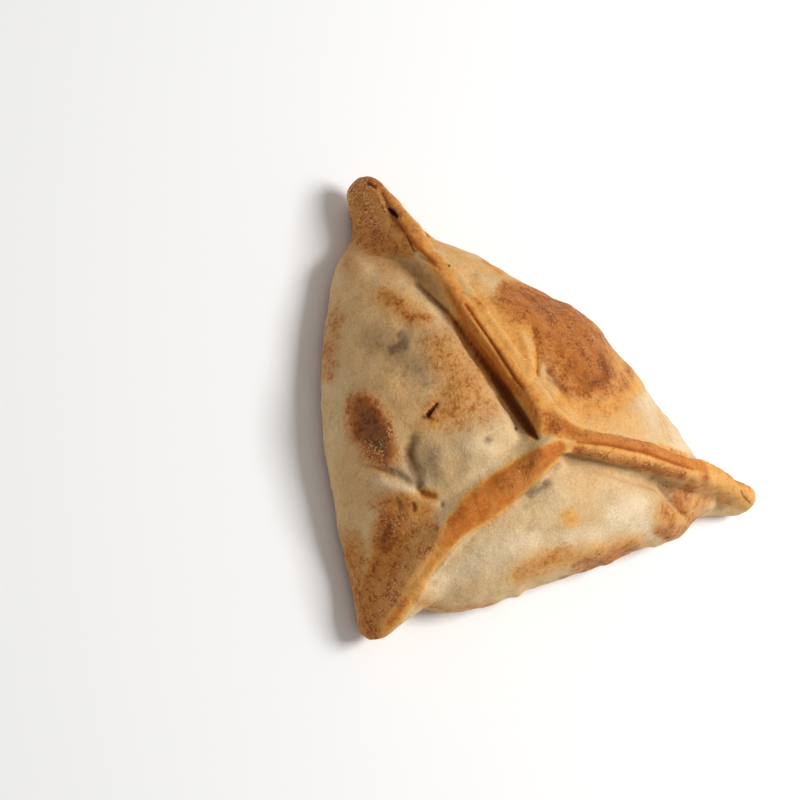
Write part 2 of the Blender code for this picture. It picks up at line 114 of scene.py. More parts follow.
# Creases, dents and swellings, in mm of height.
RELIEF = (
    # the deep cleft under the long seam's left side, and the sharp corner where it ends
    Stroke(-0.5, ((416, 283, 3), (430, 297, 4), (442, 307, 5), (452, 318, 6))),
    Stroke(-1.6, ((457, 324, 6), (468, 341, 8), (482, 360, 9), (498, 381, 11), (511, 402, 11),
                  (523, 420, 11), (531, 431, 8), (537, 438, 3))),
    # the thin left lip of the long seam, and the crease between its two lips
    Stroke(0.3, ((461, 306, 4), (472, 322, 4.5), (485, 341, 5), (497, 359, 5), (508, 376, 4))),
    Stroke(-0.55, ((465, 304, 2.2), (477, 322, 2.6), (490, 341, 3), (502, 359, 3), (514, 378, 3),
                   (522, 388, 2))),
    Stroke(0.4, ((452, 292, 8),)),
    Stroke(0.4, ((532, 396, 10), (544, 412, 9))),
    Stroke(-0.35, ((519, 397, 5), (532, 413, 5))),
    # the long tip: its crease, its hole and the small pit at its end
    Stroke(-0.5, ((382, 192, 4), (387, 205, 5), (392, 216, 6), (403, 230, 5), (410, 242, 4),
                  (415, 251, 3))),
    Stroke(-1.3, ((389, 209, 3), (393, 212, 4.5), (397, 216, 3))),
    Stroke(-0.6, ((368, 183, 3.5), (375, 187, 4))),
    Stroke(-0.5, ((415, 251, 4), (426, 259, 5), (438, 267, 4))),
    Stroke(0.45, ((353, 212, 16), (353, 234, 16)), deep=14),
    Stroke(0.4, ((402, 216, 8),)),
    Stroke(0.4, ((424, 240, 8),)),
    Stroke(0.7, ((352, 268, 26),)),
    Stroke(-0.5, ((366, 246, 14), (386, 252, 12))),
    # the right-hand seam: the crease between its lips, and the hollow below the lower lip
    Stroke(-0.5, ((578, 442, 2.5), (600, 443.5, 3), (622, 446.5, 3.2), (644, 451.5, 3.4),
                  (662, 458, 3.4), (680, 464.5, 3), (693, 469, 2.5))),
    Stroke(-1.3, ((566, 459, 7), (586, 463, 9), (610, 470, 9), (636, 478, 10), (656, 484, 9))),
    Stroke(0.35, ((590, 436, 8),)),
    Stroke(0.3, ((620, 439, 8),)),
    Stroke(0.35, ((652, 447, 9),)),
    Stroke(0.3, ((682, 456, 9),)),
    Stroke(0.45, ((598, 449, 7),)),
    Stroke(0.45, ((630, 456, 8),)),
    Stroke(0.5, ((660, 465, 9),)),
    Stroke(-0.35, ((614, 454, 6),)),
    Stroke(-0.35, ((645, 463, 6),)),
    # the right-hand tip: the valley beside the bulge, the notch, and the folded end
    Stroke(-1.0, ((654, 482, 7), (666, 496, 8), (678, 509, 7), (686, 517, 4)), deep=4),
    Stroke(0.9, ((660, 520, 28), (674, 528, 20)), deep=10),
    Stroke(0.9, ((692, 490, 22), (702, 502, 16))),
    Stroke(-0.7, ((703, 484, 6), (708, 478, 5))),
    Stroke(-0.5, ((690, 478, 6), (684, 490, 6))),
    Stroke(0.6, ((708, 502, 12),)),
    Stroke(-0.9, ((719, 496, 6), (720, 507, 6))),
    Stroke(0.4, ((728, 494, 24), (740, 499, 20)), deep=14),
    Stroke(0.35, ((738, 504, 18),), deep=14),
    Stroke(0.7, ((749, 508, 10),), deep=8),
    Stroke(-0.5, ((741, 491, 3), (744, 497, 3.5), (749, 502, 3))),
    Stroke(0.4, ((706, 470, 9),)),
    Stroke(-0.3, ((718, 476, 8),)),
    # the right-hand panel draws in beside the long seam and towards that tip
    Stroke(-1.5, ((440, 236, 22), (474, 250, 34), (512, 272, 36), (548, 296, 26)), deep=24),
    Stroke(-1.2, ((618, 344, 34), (650, 392, 44), (684, 438, 34)), deep=24),
    # the lower seam: its free edge, its dark pit, and its uneven top
    Stroke(-1.0, ((562, 458, 6), (546, 474, 7), (526, 491, 7), (504, 508, 7), (482, 524, 7),
                  (462, 544, 7), (442, 562, 7), (430, 584, 6))),
    Stroke(-0.55, ((530, 464, 7), (523, 474, 7))),
    Stroke(0.35, ((505, 480, 16),)),
    Stroke(-0.3, ((486, 496, 13),)),
    Stroke(0.35, ((466, 512, 16),)),
    Stroke(-0.25, ((446, 532, 11),)),
    Stroke(0.3, ((522, 446, 10), (502, 462, 11), (480, 484, 12), (456, 508, 12), (438, 534, 10))),
    Stroke(-0.4, ((436, 556, 6), (420, 574, 7), (402, 592, 6))),
    Stroke(0.4, ((420, 584, 9), (404, 604, 9))),
    Stroke(0.3, ((362, 606, 14), (364, 624, 12)), deep=14),
    Stroke(-0.8, ((384, 644, 18), (402, 632, 14)), deep=12),
    # the bottom panel's rim, drawn in and gently wavy
    Stroke(-1.0, ((530, 594, 14), (560, 584, 16), (590, 575, 16), (620, 562, 14), (645, 551, 12)),
           deep=10),
    Stroke(-0.6, ((628, 561, 12),), deep=10),
    Stroke(-0.6, ((592, 575, 13),), deep=10),
    Stroke(0.5, ((609, 566, 12),), deep=10),
    Stroke(-0.5, ((540, 590, 14),), deep=10),
    Stroke(-0.5, ((507, 602, 15),), deep=10),
    Stroke(0.5, ((520, 560, 26),)),
    Stroke(-0.5, ((548, 540, 22),)),
    Stroke(0.4, ((590, 545, 18),)),
    Stroke(-0.35, ((600, 505, 26),)),
    Stroke(0.4, ((560, 500, 24),)),
    # the blister on the left-hand panel
    Stroke(0.6, ((364, 409, 23), (370, 427, 29), (378, 448, 24)), soft=0.6),
    Stroke(-0.4, ((366, 420, 18), (374, 438, 18))),
    # the slit that steam has opened
    Stroke(-0.9, ((438, 402, 1.6), (433, 409, 2.6), (428, 415, 3.6))),
    # the knob of filling that shows through, and the creases that bound it
    Stroke(0.5, ((434, 447, 20), (443, 457, 18))),
    Stroke(-0.9, ((413, 438, 9), (408, 450, 10), (411, 462, 10), (418, 474, 9), (419, 488, 7))),
    Stroke(-0.6, ((364, 465, 4), (380, 470, 6), (395, 475, 7), (406, 481, 7), (418, 489, 6))),
    Stroke(0.8, ((382, 483, 14), (404, 492, 14))),
    Stroke(-0.6, ((430, 476, 16), (442, 484, 14))),
    Stroke(-0.6, ((424, 494, 8), (434, 496, 7))),
    Stroke(-0.5, ((400, 505, 7),)),
    Stroke(-0.6, ((414, 506, 5),)),
    Stroke(-0.5, ((442, 504, 5),)),
    Stroke(0.5, ((476, 446, 26), (488, 452, 18))),
    Stroke(-0.4, ((462, 460, 12), (454, 474, 12))),
    Stroke(-0.3, ((388, 450, 7), (380, 462, 6))),
    # hollows high on the left-hand panel
    Stroke(-0.5, ((406, 330, 10), (400, 345, 12), (384, 350, 14))),
    Stroke(-0.5, ((366, 346, 26),)),
    Stroke(0.5, ((400, 305, 20), (416, 318, 18))),
    Stroke(-0.4, ((444, 376, 20),)),
    Stroke(0.4, ((460, 398, 22),)),
    Stroke(-0.35, ((410, 385, 22),)),
    # the fold where the right-hand panel was pulled up to the seam
    Stroke(-0.65, ((533, 328, 5), (537, 344, 6.5), (538, 360, 6.5), (536, 376, 5))),
    Stroke(0.45, ((521, 334, 6), (526, 350, 6), (531, 370, 5))),
    Stroke(-0.5, ((548, 370, 7),)),
    Stroke(-0.5, ((563, 390, 8),)),
    Stroke(0.4, ((548, 394, 12), (566, 412, 12))),
    Stroke(-0.4, ((600, 360, 10), (606, 378, 10))),
    # the crack beside the long seam
    Stroke(-0.3, ((462, 292, 4), (472, 298, 4), (480, 300, 4))),
)

# Where the solid's own edges are eased away.
EASED = (
    Stroke(1.0, ((578, 468, 10), (612, 478, 13), (640, 487, 14), (660, 495, 13), (684, 512, 9))),
)

# Where the dough is hardly baked and stays chalky pale, with painted highlights on a few ridges
# and painted light on a face that turns away from the lamp.
RAW_AND_HIGHLIT = (
    Stroke(0.75, ((618, 516, 36), (638, 506, 28), (640, 530, 22))),
    Stroke(0.6, ((560, 545, 26), (600, 534, 30))),
    Stroke(0.55, ((440, 582, 26), (480, 560, 42), (530, 536, 30))),
    Stroke(0.7, ((650, 402, 26), (672, 434, 26), (684, 450, 16))),
    # painted highlights on the knob's crust
    Stroke(0.36, ((474, 446, 24), (492, 450, 16))),
    # painted light on the strip by the centre that faces away from the lamp
    Stroke(0.4, ((528, 441, 6), (548, 434, 6))),
    Stroke(0.4, ((454, 258, 10), (468, 278, 12), (476, 288, 8)), deep=8),
    # a painted highlight along the fold's crest
    Stroke(0.4, ((523, 338, 4), (527, 352, 4.5), (532, 368, 4))),
    Stroke(0.4, ((540, 384, 6), (554, 402, 8), (578, 418, 8), (610, 426, 6))),
    # a painted highlight along the flap's ridge
    Stroke(0.6, ((378, 480, 10), (398, 487, 9), (412, 490, 6))),
    Stroke(0.8, ((430, 568, 9), (416, 586, 9), (402, 606, 9))),
    Stroke(0.4, ((366, 270, 20), (388, 290, 20))),
)

# How far each place is baked, from pale to dark brown.
BAKED = (
    # the right-hand panel
    Stroke(0.58, ((506, 290, 14), (528, 300, 24), (556, 318, 34), (584, 346, 42), (592, 366, 38)),
           soft=0.6, deep=1.5),
    Stroke(0.5, ((534, 316, 16), (550, 346, 20), (562, 374, 22), (576, 390, 20)), soft=0.7,
           deep=1.5),
    Stroke(0.84, ((598, 354, 22), (606, 374, 22), (588, 388, 18)), deep=1.5),
    Stroke(0.7, ((514, 290, 16), (534, 302, 20), (556, 324, 22)), deep=1.5),
    Stroke(0.42, ((498, 298, 18), (518, 318, 20))),
    Stroke(0.46, ((600, 398, 16), (622, 386, 18), (630, 366, 16)), deep=1.5),
    Stroke(0.26, ((590, 412, 24), (624, 404, 26)), deep=1.5),
    Stroke(0.3, ((476, 300, 9), (484, 308, 10))),
    Stroke(0.24, ((484, 260, 9), (500, 272, 10))),
    # the left-hand panel
    Stroke(0.15, ((400, 290, 90), (400, 400, 110), (380, 500, 90))),
    Stroke(0.9, ((362, 409, 26), (369, 427, 35), (379, 450, 28)), soft=0.85),
    Stroke(0.44, ((364, 406, 38), (370, 427, 46), (382, 456, 38))),
    Stroke(1.05, ((370, 436, 16), (382, 450, 16))),
    Stroke(0.95, ((362, 414, 16),)),
    Stroke(0.42, ((384, 295, 16), (398, 303, 18), (412, 316, 18), (428, 320, 12))),
    Stroke(0.36, ((436, 344, 44), (466, 380, 54), (446, 412, 48), (480, 410, 40))),
    Stroke(0.42, ((380, 502, 24), (402, 506, 26), (424, 515, 24))),
    Stroke(0.8, ((390, 518, 20), (384, 546, 24))),
    Stroke(0.62, ((376, 598, 17), (370, 624, 15))),
    Stroke(0.54, ((396, 532, 36), (390, 556, 29), (378, 582, 25), (372, 608, 21), (368, 632, 17)),
           soft=0.6),
    Stroke(0.46, ((426, 526, 18), (424, 542, 16), (408, 560, 14))),
    Stroke(0.42, ((438, 530, 11), (428, 550, 12), (411, 572, 13), (397, 592, 13), (386, 612, 13))),
    Stroke(0.46, ((350, 540, 26), (357, 570, 28), (361, 600, 24))),
    Stroke(0.5, ((368, 184, 30), (366, 210, 36), (368, 236, 34), (388, 246, 22)), soft=0.7, deep=3),
    Stroke(0.62, ((368, 226, 18), (382, 240, 16))),
    Stroke(0.2, ((390, 252, 20), (412, 267, 18), (432, 282, 16), (446, 300, 10)), soft=0.7),
    Stroke(0.4, ((392, 224, 10), (404, 242, 11), (410, 254, 10))),
    Stroke(0.36, ((336, 316, 18), (330, 346, 22), (328, 374, 20))),
    Stroke(0.3, ((346, 252, 24), (352, 270, 22))),
    Stroke(0.26, ((372, 258, 20), (392, 266, 16))),
    # the bottom panel
    Stroke(0.5, ((580, 566, 18), (606, 558, 18), (634, 547, 14))),
    Stroke(0.32, ((520, 576, 16), (544, 562, 26), (566, 556, 20))),
    Stroke(0.48, ((664, 508, 14), (668, 520, 18), (672, 532, 16), (686, 528, 14), (694, 518, 12))),
    Stroke(0.66, ((660, 530, 12), (668, 536, 12))),
    Stroke(0.4, ((668, 486, 14), (684, 496, 20), (698, 486, 18))),
    Stroke(0.5, ((684, 508, 14), (676, 498, 10))),
    Stroke(0.62, ((704, 478, 10),)),
    Stroke(0.5, ((728, 502, 8),)),
    Stroke(0.3, ((696, 506, 16), (708, 496, 14))),
    Stroke(0.2, ((730, 488, 26), (744, 502, 22)), deep=10),
    Stroke(0.3, ((420, 602, 16), (450, 612, 12), (500, 604, 10))),
    # patches along the lips of the right-hand seam
    Stroke(0.5, ((576, 450, 7), (604, 455, 8), (630, 461, 9), (655, 468, 9), (682, 475, 9)),
           soft=0.7),
    Stroke(0.5, ((600, 456, 7),)),
    Stroke(0.6, ((636, 464, 8), (648, 467, 8))),
    Stroke(0.4, ((574, 434, 12), (600, 436, 7), (640, 443, 7), (676, 454, 7)), deep=1),
    Stroke(0.6, ((560, 430, 14), (546, 414, 10)), deep=2),
    # the top of the lower seam
    Stroke(0.58, ((534, 459, 13), (522, 473, 18), (507, 486, 16))),
    Stroke(0.16, ((470, 512, 16), (452, 532, 14))),
)

# How golden each place is, from cream through yellow and orange to a deep orange brown.
GOLDEN = (
    # the long seam's lips, its left side and the bottom of its cleft
    Stroke(0.56, ((388, 194, 11), (402, 214, 13), (416, 234, 14), (434, 256, 14), (448, 280, 14),
                  (462, 304, 14), (476, 324, 15), (490, 346, 17), (504, 366, 18), (520, 388, 20),
                  (536, 408, 22), (550, 422, 22)), soft=0.6, wraps=True),
    Stroke(0.95, ((436, 263, 6), (424, 252, 6), (412, 242, 6), (403, 230, 7), (394, 219, 8),
                  (389, 206, 8), (384, 194, 6))),
    Stroke(0.66, ((530, 400, 9), (542, 420, 9))),
    Stroke(0.7, ((448, 290, 8), (458, 308, 9), (467, 325, 8), (480, 347, 7), (497, 371, 7),
                 (512, 394, 7))),
    Stroke(0.36, ((420, 286, 4), (434, 299, 5), (446, 311, 6))),
    Stroke(0.56, ((434, 299, 2), (446, 311, 6), (456, 322, 8))),
    Stroke(0.8, ((444, 308, 1), (457, 324, 6), (468, 341, 8), (482, 360, 9), (498, 381, 10),
                 (511, 402, 10), (523, 420, 10), (531, 431, 8), (537, 438, 3))),
    Stroke(0.85, ((465, 304, 3), (478, 323, 3.5), (491, 342, 4.5), (503, 360, 5), (515, 379, 5),
                  (524, 389, 5))),
    Stroke(0.5, ((368, 184, 30), (368, 210, 36), (378, 236, 27), (400, 252, 13)), soft=0.7, deep=3),
    Stroke(0.24, ((400, 258, 24), (426, 280, 20), (446, 300, 10)), soft=0.7),
    Stroke(0.4, ((392, 224, 10), (404, 242, 11), (410, 254, 9))),
    # the right-hand seam's lips and its tip
    Stroke(0.64, ((554, 424, 14), (580, 436, 10), (604, 439, 8), (624, 442, 8), (644, 447, 8),
                  (664, 453, 9), (684, 460, 10), (704, 468, 12)), soft=0.5, wraps=True),
    Stroke(0.7, ((562, 424, 9), (582, 433, 6), (604, 437, 5.5), (644, 444, 5.5), (684, 457, 6)),
           soft=0.6, deep=1),
    Stroke(0.88, ((576, 442, 2), (604, 444, 4), (644, 452, 4.5), (680, 465, 4), (692, 469, 2)),
           soft=0.9),
    Stroke(0.4, ((572, 448, 8), (600, 452, 9), (622, 457, 10), (644, 463, 10), (664, 468, 10),
                  (682, 473, 10)), soft=0.6),
    Stroke(0.56, ((606, 456, 8),)),
    Stroke(0.56, ((648, 467, 9), (676, 474, 10))),
    Stroke(0.36, ((694, 476, 22), (722, 488, 26), (746, 498, 24)), soft=0.7, deep=4),
    Stroke(0.3, ((666, 520, 26), (688, 512, 22), (706, 496, 20))),
    # the lower seam
    Stroke(0.7, ((560, 447, 10), (540, 460, 17), (520, 475, 22), (498, 492, 24), (476, 509, 24),
                 (458, 525, 17), (447, 540, 12)), soft=0.5),
    Stroke(0.54, ((452, 536, 16), (438, 554, 13), (428, 567, 10)), soft=0.8, deep=5),
    Stroke(0.3, ((438, 530, 12), (428, 550, 13), (411, 572, 14), (397, 592, 14), (386, 612, 14))),
    Stroke(0.96, ((540, 456, 15), (522, 474, 19), (506, 487, 17))),
    Stroke(0.74, ((406, 600, 8), (398, 612, 10), (388, 624, 9)), deep=5),
    Stroke(0.46, ((394, 620, 14), (382, 634, 12)), deep=8),
    Stroke(0.36, ((426, 528, 16), (420, 546, 14))),
    Stroke(0.6, ((540, 462, 14), (498, 492, 17), (454, 527, 11)), soft=0.7, wraps=True),
    Stroke(0.4, ((438, 554, 12), (422, 578, 13), (408, 600, 13), (394, 620, 11)), soft=0.6,
           wraps=True),
    Stroke(0.44, ((394, 546, 34), (380, 584, 27), (370, 626, 21)), soft=0.7),
    # the right-hand panel, yellow beside the seam and round the brown patch
    Stroke(0.3, ((452, 258, 18), (480, 294, 32), (500, 326, 38), (522, 352, 34))),
    Stroke(0.46, ((470, 300, 10), (486, 316, 12), (500, 338, 12), (514, 358, 10), (528, 378, 8)),
           deep=8),
    Stroke(0.4, ((474, 288, 9), (494, 314, 11), (514, 344, 11), (532, 374, 10)), deep=8),
    Stroke(0.36, ((534, 378, 8), (550, 400, 8), (576, 420, 8), (606, 431, 6)), deep=8),
    Stroke(0.4, ((488, 302, 16), (506, 322, 18), (518, 340, 14))),
    Stroke(0.5, ((476, 300, 10), (484, 308, 11))),
    Stroke(0.36, ((484, 260, 10), (502, 274, 12))),
    Stroke(0.74, ((512, 300, 28), (548, 326, 38), (576, 350, 46), (588, 376, 40)), deep=1.5),
    Stroke(0.55, ((533, 330, 6), (537, 348, 8), (537, 372, 7))),
    Stroke(0.44, ((517, 324, 9), (525, 348, 9), (532, 372, 8))),
    Stroke(0.3, ((544, 380, 12), (556, 400, 12), (576, 416, 10))),
    Stroke(0.46, ((560, 398, 20), (584, 408, 26), (612, 404, 30), (632, 386, 24)), deep=1.5),
    Stroke(0.28, ((570, 412, 46), (630, 420, 40)), deep=1.5),
    Stroke(0.08, ((640, 400, 60), (676, 446, 40)), deep=1.5),
    # the left-hand and the bottom panel
    Stroke(0.2, ((370, 290, 90), (400, 370, 110), (400, 410, 80))),
    Stroke(0.14, ((350, 480, 90), (360, 560, 60))),
    Stroke(0.3, ((352, 548, 26), (362, 590, 24))),
    Stroke(0.2, ((526, 442, 8), (550, 434, 8))),
    Stroke(0.3, ((440, 356, 50), (470, 394, 54), (430, 418, 40))),
    Stroke(0.34, ((384, 296, 34), (416, 318, 30))),
    Stroke(0.5, ((398, 504, 24), (420, 512, 28))),
    Stroke(0.5, ((433, 420, 18),)),
    Stroke(0.8, ((438, 402, 2.6), (433, 409, 4), (428, 415, 5.6))),
    Stroke(0.22, ((372, 428, 44), (392, 452, 30))),
    Stroke(0.34, ((570, 518, 20),), soft=0.8),
    Stroke(0.18, ((582, 490, 34), (610, 470, 30))),
    Stroke(0.32, ((520, 575, 30), (560, 556, 30), (610, 550, 26), (640, 540, 18))),
    Stroke(0.1, ((450, 590, 40), (500, 570, 50))),
    # the creases round the filling that shows through
    Stroke(0.3, ((414, 436, 7), (408, 447, 8), (410, 460, 8), (418, 474, 8), (419, 489, 7))),
    Stroke(0.3, ((366, 464, 5), (380, 469, 5), (395, 476, 4))),
    Stroke(0.75, ((424, 494, 9), (434, 496, 9))),
)

# Where the filling shows through as a cool grey, and painted shade: in the creases round the knob
# and above the flap, under the right-hand seam's lower lip, and on the long seam's left flank.
FILLING_AND_SHADE = (
    Stroke(1.0, ((402, 334, 9), (403, 346, 12), (392, 350, 10))),
    Stroke(0.6, ((380, 344, 22),)),
    Stroke(0.5, ((372, 338, 38), (428, 374, 28))),
    # painted shade in the crease round the knob
    Stroke(0.8, ((413, 440, 12), (409, 452, 13), (414, 467, 13), (419, 484, 10))),
    Stroke(0.45, ((430, 456, 22), (426, 475, 18), (436, 482, 16))),
    # painted shade above the flap's edge
    Stroke(0.5, ((384, 467, 9), (400, 474, 12), (411, 482, 10))),
    Stroke(0.8, ((549, 483, 8), (531, 492, 12))),
    Stroke(0.7, ((526, 507, 6),)),
    Stroke(0.5, ((530, 528, 10),)),
    Stroke(0.3, ((535, 490, 36),)),
    Stroke(0.3, ((576, 562, 16), (600, 556, 12))),
    Stroke(0.7, ((488, 440, 9),)),
    # painted shadow under the right-hand seam's lower lip
    Stroke(0.6, ((656, 478, 14), (670, 490, 13))),
    Stroke(0.6, ((718, 509, 10),)),
    # painted shade on the long seam's left flank and in its upper crevice
    Stroke(0.46, ((396, 258, 18), (418, 272, 16), (436, 288, 12))),
    Stroke(0.6, ((418, 285, 5), (432, 298, 6), (446, 311, 6))),
    # faint painted shade where the lamp lights the right-hand panel most
    Stroke(0.24, ((640, 404, 34), (674, 440, 30))),
    Stroke(0.3, ((364, 410, 30), (371, 428, 38), (382, 450, 32))),
)

# Dark marks: cracks, pits and spots, and painted shade in the clefts, creases, grooves and holes
# and under the right-hand seam's lower lip.
SCORCH_AND_SHADE = (
    # painted shade in the long seam's upper crevice and down its cleft
    Stroke(0.3, ((422, 288, 2), (434, 299, 3), (446, 311, 4), (455, 322, 4))),
    Stroke(0.46, ((455, 322, 4), (468, 341, 5.5), (482, 360, 6.5)), soft=0.95),
    Stroke(0.64, ((476, 352, 4.5), (488, 368, 6.5), (500, 384, 8.5)), soft=0.95),
    Stroke(0.78, ((492, 374, 6), (504, 391, 9), (514, 406, 9), (524, 421, 9), (531, 431, 7),
                  (537, 438, 2.5)), soft=0.85),
    # painted shade in the crease between the long seam's lips
    Stroke(0.32, ((470, 312, 0.6), (478, 323, 1.4), (491, 342, 2.2), (503, 360, 2.6),
                  (515, 379, 2.4), (522, 388, 1))),
    # painted shade in the crease at the long tip, and in its hole and pit
    Stroke(0.34, ((382, 192, 4), (388, 206, 6), (394, 219, 6), (404, 231, 4))),
    Stroke(0.5, ((407, 236, 2), (414, 251, 2))),
    Stroke(0.3, ((420, 256, 3), (436, 266, 3))),
    Stroke(1.1, ((389, 209, 3), (393, 212, 4.5), (397, 216, 3))),
    Stroke(0.6, ((368, 183, 3), (375, 187, 3.5))),
    Stroke(1.05, ((439, 401, 1.2), (433, 409, 2.3), (428, 415, 3.9)), soft=0.85),
    Stroke(0.5, ((424, 417, 5), (434, 419, 3.5))),
    # painted shade in the crease between the right-hand seam's lips, and painted shadow under its
    # lower lip
    Stroke(0.34, ((576, 442, 1), (604, 444, 2.4), (644, 452, 2.8), (680, 465, 2.4), (694, 469, 1))),
    Stroke(0.34, ((564, 454, 4), (580, 458, 5), (600, 462, 5), (640, 471, 5))),
    Stroke(0.9, ((516, 429, 2.8),)),
    Stroke(0.9, ((449, 266, 2),)),
    Stroke(0.7, ((514, 320, 1.8),)),
    Stroke(0.34, ((398, 500, 6), (402, 508, 8))),
    Stroke(0.5, ((413, 503, 4), (415, 510, 5))),
    Stroke(0.42, ((424, 493, 8), (433, 496, 8))),
    Stroke(0.36, ((442, 505, 4.5),)),
    # painted shade in the flap's crease and in the knob's crease
    Stroke(0.26, ((366, 464, 2), (380, 469, 4), (397, 476, 2.4))),
    Stroke(0.26, ((411, 446, 5), (411, 458, 5))),
    # painted shade in the crease at the right-hand tip's end
    Stroke(0.45, ((741, 491, 2), (744, 497, 2.4), (750, 503, 2))),
    Stroke(0.16, ((531, 463, 9), (524, 474, 9))),
    Stroke(0.42, ((390, 526, 8), (384, 540, 8))),
    # painted shade in the dents beside the fold
    Stroke(0.35, ((548, 370, 5), (563, 390, 6))),
    Stroke(0.3, ((602, 358, 6), (608, 378, 7), (590, 384, 6))),
    Stroke(0.22, ((462, 292, 2.5), (472, 298, 2.5), (480, 300, 2))),
    # painted shade down the valley beside the right-hand tip's bulge
    Stroke(0.34, ((658, 486, 4), (668, 498, 5.5), (677, 508, 5), (685, 515, 3)), deep=3),
    Stroke(0.26, ((402, 342, 8), (394, 349, 7))),
    Stroke(0.4, ((674, 497, 4),)),
    # painted shade in the fold's groove
    Stroke(0.2, ((536, 334, 2), (538, 352, 4), (537, 372, 3))),
    Stroke(0.3, ((560, 578, 5), (590, 573, 5))),
)

# Places that are dusted with flour.
FLOURED = (
    Stroke(2.2, ((356, 196, 22), (362, 186, 18), (378, 204, 20), (380, 220, 18), (362, 212, 24))),
    Stroke(1.1, ((400, 206, 10), (420, 228, 11), (440, 246, 10))),
    Stroke(0.8, ((362, 236, 20), (388, 236, 14))),
    Stroke(1.4, ((350, 254, 20), (362, 270, 24), (350, 286, 20), (384, 268, 20))),
    Stroke(1.0, ((386, 600, 28), (404, 570, 28), (372, 622, 22), (430, 546, 26))),
    Stroke(0.9, ((376, 530, 22), (400, 520, 24), (424, 526, 20))),
    Stroke(1.1, ((376, 464, 18), (352, 448, 16), (394, 450, 14), (392, 410, 12))),
    Stroke(0.55, ((604, 376, 34), (590, 340, 34), (550, 316, 24))),
    Stroke(1.0, ((654, 512, 14), (660, 528, 14))),
    Stroke(1.3, ((590, 450, 8), (640, 460, 9), (680, 472, 10))),
    Stroke(0.5, ((590, 436, 8), (640, 445, 8), (690, 460, 10))),
    Stroke(0.6, ((700, 482, 18), (712, 494, 14))),
)

# The same kinds of stroke on the far side, drawn in the view from behind.
RELIEF_BEHIND = (
    # gentle folds that run down from the two seams, and swellings between them
    Stroke(-0.5, ((262, 372, 8), (246, 410, 10), (236, 450, 8))),
    Stroke(-0.45, ((524, 356, 7), (546, 388, 9), (556, 416, 8))),
    Stroke(-0.4, ((486, 346, 7), (500, 372, 8))),
    Stroke(0.5, ((300, 460, 30),)),
    Stroke(0.5, ((404, 400, 34),)),
    Stroke(-0.45, ((352, 446, 24),)),
    Stroke(-0.5, ((470, 450, 26),)),
    Stroke(0.4, ((520, 440, 22),)),
    Stroke(-0.4, ((232, 500, 20),)),
    Stroke(0.4, ((188, 500, 16),)),
    # the uneven rim
    Stroke(-0.6, ((300, 538, 14),)),
    Stroke(0.3, ((340, 532, 14),)),
    Stroke(-0.6, ((396, 520, 14),)),
    Stroke(0.3, ((436, 508, 14),)),
    Stroke(-0.6, ((500, 484, 14),)),
)
RAW_BEHIND = (
    Stroke(0.7, ((230, 440, 30), (250, 480, 34), (300, 500, 26))),
    Stroke(0.5, ((500, 440, 30), (450, 490, 24))),
)
BAKED_BEHIND = (
    Stroke(0.58, ((344, 362, 26), (376, 382, 44), (410, 394, 50), (448, 398, 38)), soft=0.7),
    Stroke(0.46, ((372, 424, 34), (410, 436, 44), (452, 428, 28))),
    Stroke(0.75, ((424, 384, 24), (450, 402, 22))),
    Stroke(0.7, ((360, 380, 20), (384, 400, 22))),
    Stroke(0.4, ((560, 420, 24), (590, 426, 20))),
    Stroke(0.3, ((236, 520, 26), (262, 512, 30), (296, 522, 26))),
    Stroke(0.36, ((470, 486, 20), (500, 470, 18))),
    Stroke(0.45, ((588, 392, 22), (620, 408, 24), (632, 420, 20))),
    Stroke(0.3, ((170, 470, 18), (140, 520, 22))),
)
GOLDEN_BEHIND = (
    Stroke(0.66, ((346, 374, 44), (396, 398, 60), (446, 404, 52))),
    Stroke(0.4, ((320, 396, 40), (350, 450, 44), (410, 474, 44), (470, 440, 40))),
    Stroke(0.24, ((250, 440, 60), (280, 490, 50), (500, 440, 50))),
    Stroke(0.3, ((500, 400, 46), (560, 420, 40))),
    Stroke(0.55, ((566, 376, 20), (600, 396, 26), (630, 414, 24))),
    Stroke(0.5, ((190, 430, 16), (160, 480, 22), (130, 530, 26))),
)

# Each layer of the bake, painted shade and highlights among them: its strokes in the two views,
# and how many rounds even it out.
LAYERS = {
    "raw_and_highlit": (RAW_AND_HIGHLIT, RAW_BEHIND, 3),
    "baked": (BAKED, BAKED_BEHIND, 3),
    "golden": (GOLDEN, GOLDEN_BEHIND, 2),
    "filling_and_shade": (FILLING_AND_SHADE, (), 2),
    "scorch_and_shade": (SCORCH_AND_SHADE, (), 0),
    "floured": (FLOURED, (), 2),
}

# The bake that the hot tray gives all round.
RIM_HEIGHT = 4.0            # mm above the floor that the hot tray has browned
RIM_SOLID = 0.2             # share of that height that is evenly brown
RIM_BAKE = 0.42             # how far the rim is baked, and the underside
UNDERSIDE_BAKE = 0.72


